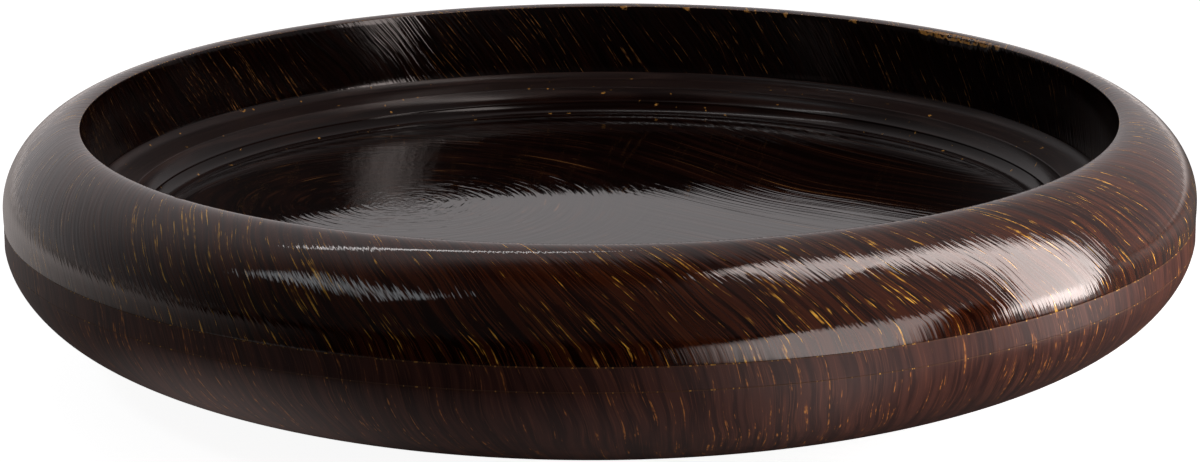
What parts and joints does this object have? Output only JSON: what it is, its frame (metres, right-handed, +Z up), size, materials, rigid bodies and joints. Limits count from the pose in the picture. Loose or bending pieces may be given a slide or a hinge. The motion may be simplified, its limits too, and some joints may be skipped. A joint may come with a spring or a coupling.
{
  "type": "centrepiece bowl",
  "caption": "Low wide lacquered centrepiece bowl with a rolled rim, a stepped flat floor and a hollow glued-up body on a hidden foot.",
  "frame": {"origin": "middle of the resting face, on the table", "axes": "+Z up along the axis of revolution; X and Y lie in the table plane and are interchangeable"},
  "size_m": [0.45, 0.45, 0.0936],
  "materials": {
    "streaked_lacquer": "high gloss clear lacquer over dark red-brown brushed lacquer with fine gold streaks",
    "dark_lacquer": "high gloss dark red-brown lacquer",
    "swirled_lacquer": "high gloss lacquer brushed in wide arcs",
    "underside_lacquer": "satin dark brown lacquer",
    "bare_wood": "bare turned wood",
    "felt": "pressed wool felt"
  },
  "bodies": {
    "root": {"rim_ring": "streaked_lacquer", "belly_band": "streaked_lacquer", "lower_shell": "streaked_lacquer", "step_ring": "dark_lacquer", "floor_panel": "swirled_lacquer", "support_ring": "bare_wood", "base_board": "underside_lacquer", "foot_ring": "underside_lacquer", "felt_ring": "felt"}
  },
  "joints": []
}
